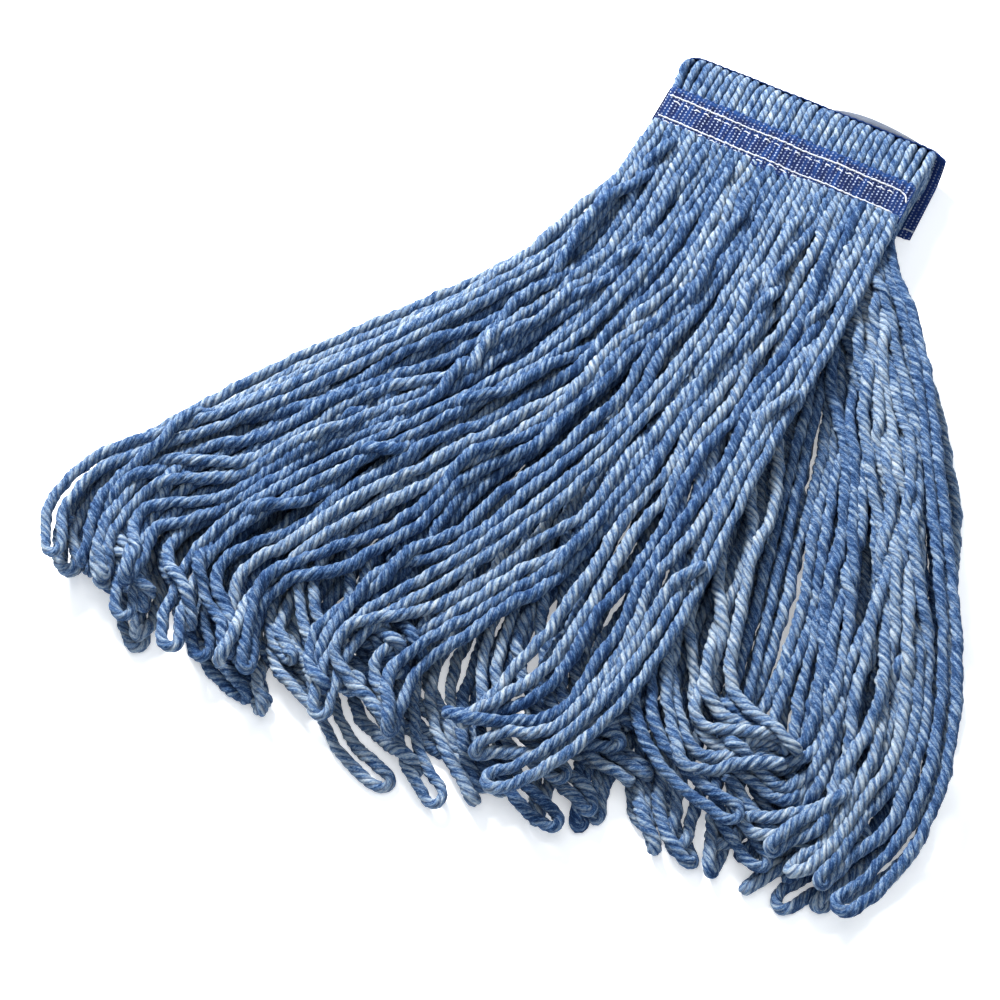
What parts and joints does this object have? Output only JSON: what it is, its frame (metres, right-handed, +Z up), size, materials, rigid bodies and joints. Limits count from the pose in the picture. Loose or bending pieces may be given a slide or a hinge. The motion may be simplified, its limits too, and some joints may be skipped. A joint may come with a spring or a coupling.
{
  "type": "string mop head",
  "caption": "Looped-end wet mop head lying flat: twisted blue yarn strands fanning out from a narrow woven headband with sewn front and rear tapes.",
  "frame": {"origin": "middle of the headband's rear face, which lies on the ground", "axes": "+X along the headband, +Y towards the fold of the yarn, so the strands lie towards -Y, +Z up off the ground"},
  "size_m": [0.4834, 0.4949, 0.0356],
  "materials": {
    "yarn": "heathered blue four-ply twisted yarn",
    "tape": "dark blue woven tape with small white flecks",
    "thread": "white sewing thread",
    "label": "thin white cloth tag"
  },
  "bodies": {
    "base": {"band_yarns_rear_inner": "yarn", "band_yarns_rear_middle": "yarn", "band_yarns_rear_outer": "yarn", "label_hem": "label", "lock_front_inner_a": "yarn", "lock_front_inner_b": "yarn", "lock_front_inner_c": "yarn", "lock_front_inner_d": "yarn", "lock_front_middle_a": "yarn", "lock_front_middle_b": "yarn", "lock_front_middle_c": "yarn", "lock_front_middle_d": "yarn", "lock_front_outer_a": "yarn", "lock_front_outer_b": "yarn", "lock_front_outer_c": "yarn", "lock_front_outer_d": "yarn", "lock_rear_inner_a": "yarn", "lock_rear_inner_b": "yarn", "lock_rear_inner_c": "yarn", "lock_rear_inner_d": "yarn", "lock_rear_middle_a": "yarn", "lock_rear_middle_b": "yarn", "lock_rear_middle_c": "yarn", "lock_rear_middle_d": "yarn", "lock_rear_outer_a": "yarn", "lock_rear_outer_b": "yarn", "lock_rear_outer_c": "yarn", "lock_rear_outer_d": "yarn", "loop_front_inner_a": "yarn", "loop_front_inner_b": "yarn", "loop_front_inner_c": "yarn", "loop_front_inner_d": "yarn", "loop_front_middle_a": "yarn", "loop_front_middle_b": "yarn", "loop_front_middle_c": "yarn", "loop_front_middle_d": "yarn", "loop_front_outer_a": "yarn", "loop_front_outer_b": "yarn", "loop_front_outer_c": "yarn", "loop_front_outer_d": "yarn", "loop_rear_inner_a": "yarn", "loop_rear_inner_c": "yarn", "loop_rear_inner_d": "yarn", "loop_rear_middle_b": "yarn", "loop_rear_outer_b": "yarn", "loop_rear_outer_d": "yarn", "rear_tape": "tape", "stitch_rear_lip": "thread", "stitch_rear_lower": "thread"},
    "headband_front": {"band_yarns_front_inner": "yarn", "band_yarns_front_middle": "yarn", "band_yarns_front_outer": "yarn", "front_tape": "tape", "stitch_front_lower": "thread", "stitch_front_lower_under": "thread", "stitch_front_upper": "thread", "stitch_front_upper_under": "thread", "thread_tail": "thread"},
    "label": {"label_tag": "label"}
  },
  "joints": [
    {"name": "headband_open", "type": "hinge", "parent": "base", "child": "headband_front", "pos_m": [0, 0.04178, 0.02166], "axis": [-1, 0, 0], "range_deg": [0, 35]},
    {"name": "label_flap", "type": "hinge", "parent": "base", "child": "label", "pos_m": [0.04, 0.04395, 0.008], "axis": [-1, 0, 0], "range_deg": [0, 90]}
  ]
}
